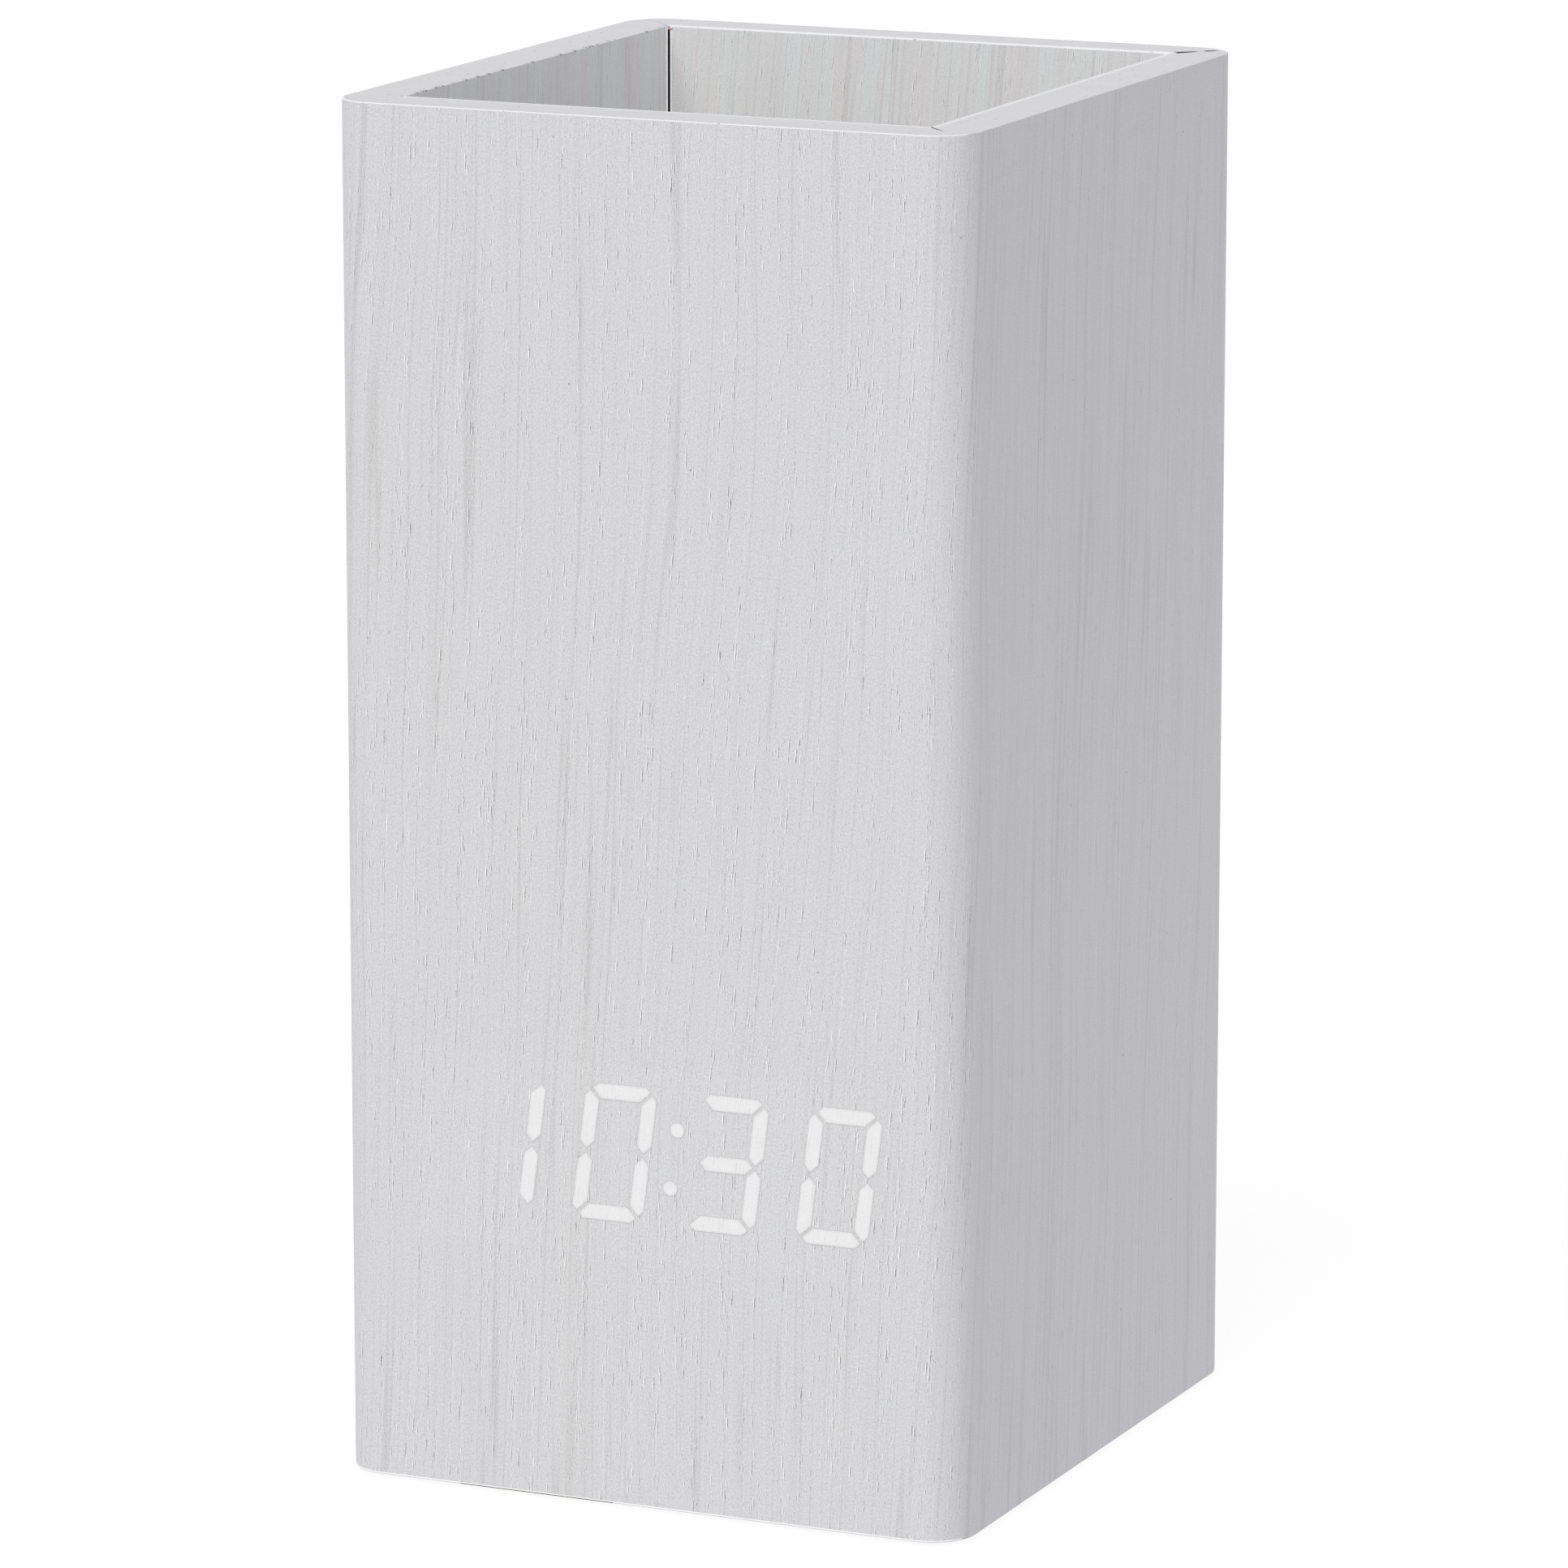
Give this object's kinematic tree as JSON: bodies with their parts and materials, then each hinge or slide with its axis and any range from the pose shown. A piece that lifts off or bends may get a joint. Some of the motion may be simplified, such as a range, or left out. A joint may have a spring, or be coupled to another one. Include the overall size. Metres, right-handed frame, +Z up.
{
  "type": "digital alarm clock",
  "caption": "Upright square wooden box with a seven-segment time display glowing through its front, an open pen cup above, rear buttons and a battery door in its base.",
  "frame": {"origin": "middle of the footprint, on the plane that the rubber feet stand on", "axes": "+Z up, -Y out of the display, +X to the right of someone who reads the time"},
  "size_m": [0.07, 0.076, 0.1444],
  "materials": {
    "grain_film": "satin printed film, white-washed wood grain with fine dark pores",
    "whitewashed_board": "smooth white paint on fibreboard, faint grain inside the cup",
    "bare_batten": "sawn bare softwood",
    "white_plastic": "finely textured white moulding",
    "grey_rubber": "matt grey rubber",
    "reflector_white": "matt white moulding",
    "diffuser": "milky translucent sheet",
    "circuit_board": "green solder mask",
    "black_plastic": "matt black moulding",
    "nickel": "nickel-plated steel",
    "zinc_screw": "zinc-plated steel",
    "cell_jacket": "printed metal jacket, plain dark blue-grey",
    "red_lead": "soft red insulation",
    "black_lead": "soft black insulation",
    "grey_ribbon": "grey ribbed flat cable"
  },
  "bodies": {
    "clock_body": {"grain_film": "grain_film", "front_panel": "whitewashed_board", "right_panel": "whitewashed_board", "back_panel": "whitewashed_board", "left_panel": "whitewashed_board", "cup_floor": "whitewashed_board", "front_cleat": "bare_batten", "rear_cleat": "bare_batten", "base_plate": "white_plastic", "base_screw_1": "zinc_screw", "base_screw_2": "zinc_screw", "base_screw_3": "zinc_screw", "base_screw_4": "zinc_screw", "foot_front_left": "grey_rubber", "foot_front_right": "grey_rubber", "foot_rear_left": "grey_rubber", "foot_rear_right": "grey_rubber", "battery_cell_1": "cell_jacket", "battery_cell_2": "cell_jacket", "battery_cell_3": "cell_jacket", "cell_spring_1": "nickel", "cell_spring_2": "nickel", "cell_spring_3": "nickel", "contact_positive": "nickel", "contact_negative": "nickel", "contact_link_left": "nickel", "contact_link_right": "nickel", "diffuser_sheet": "diffuser", "display_reflector": "reflector_white", "display_board": "circuit_board", "display_screw_1": "zinc_screw", "display_screw_2": "zinc_screw", "control_panel": "white_plastic", "panel_screw_1": "zinc_screw", "panel_screw_2": "zinc_screw", "panel_screw_3": "zinc_screw", "panel_screw_4": "zinc_screw", "set_switch": "black_plastic", "up_switch": "black_plastic", "down_switch": "black_plastic", "power_jack": "black_plastic", "main_board": "circuit_board", "board_screw_1": "zinc_screw", "board_screw_2": "zinc_screw", "alarm_buzzer": "black_plastic", "backup_cell_holder": "black_plastic", "backup_cell": "nickel", "clock_chip": "black_plastic", "timing_crystal": "nickel", "ribbon_cable": "grey_ribbon", "battery_lead_red": "red_lead", "battery_lead_black": "black_lead"},
    "battery_door": {"battery_door": "white_plastic"},
    "set_button": {"set_button": "white_plastic", "set_plunger": "black_plastic"},
    "up_button": {"up_button": "white_plastic", "up_plunger": "black_plastic"},
    "down_button": {"down_button": "white_plastic", "down_plunger": "black_plastic"}
  },
  "joints": [
    {"name": "battery_door_hinge", "type": "hinge", "parent": "clock_body", "child": "battery_door", "pos_m": [0, -0.0176, 0.0024], "axis": [-1, 0, 0], "range_deg": [0, 80]},
    {"name": "set_button_press", "type": "slide", "parent": "clock_body", "child": "set_button", "axis": [0, -1, 0], "range_m": [0, 0.0005], "stiffness_N_per_m": 1500, "springref_m": -0.0002},
    {"name": "up_button_press", "type": "slide", "parent": "clock_body", "child": "up_button", "axis": [0, -1, 0], "range_m": [0, 0.0005], "stiffness_N_per_m": 1500, "springref_m": -0.0002},
    {"name": "down_button_press", "type": "slide", "parent": "clock_body", "child": "down_button", "axis": [0, -1, 0], "range_m": [0, 0.0005], "stiffness_N_per_m": 1500, "springref_m": -0.0002}
  ]
}
